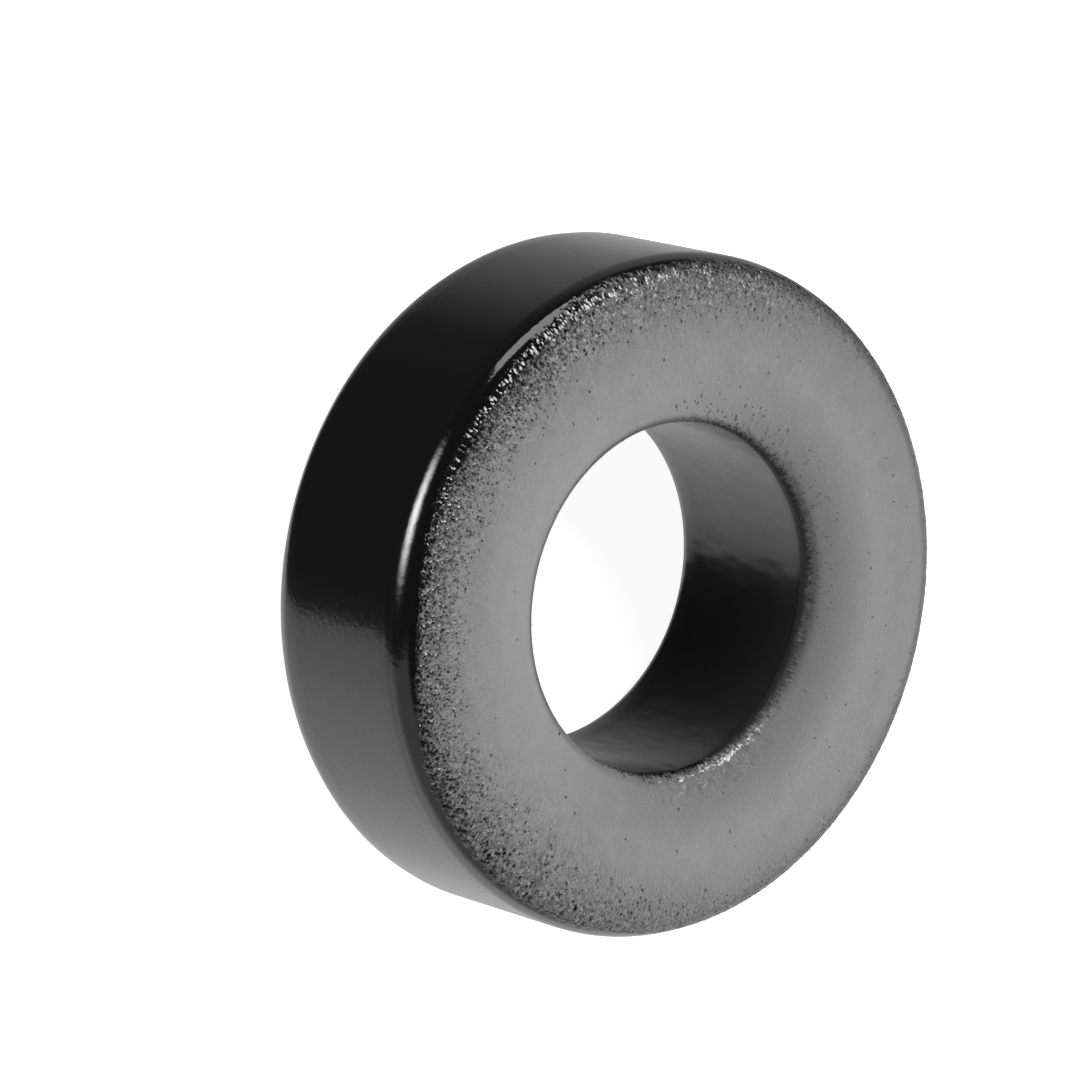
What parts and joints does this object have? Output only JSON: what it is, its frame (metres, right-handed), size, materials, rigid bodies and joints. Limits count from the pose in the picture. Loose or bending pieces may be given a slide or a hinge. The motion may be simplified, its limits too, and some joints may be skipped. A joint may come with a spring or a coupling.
{
  "type": "toroid core",
  "caption": "Pressed magnetic ring core with rounded edges, a hard black coat and one grey painted face, for winding inductors and chokes or slipping over a cable.",
  "frame": {"origin": "centre of the lower face, on the bore's axis, at the height that the ring stands on", "axes": "+Z along the bore's axis, out of the painted face; +X and +Y are any two directions across the ring"},
  "size_m": [0.02, 0.02, 0.0065],
  "materials": {
    "core_coat": "hard black epoxy coat, glossy on the walls, with semi-matte grey paint over the upper face"
  },
  "bodies": {
    "root": {"core": "core_coat"}
  },
  "joints": []
}
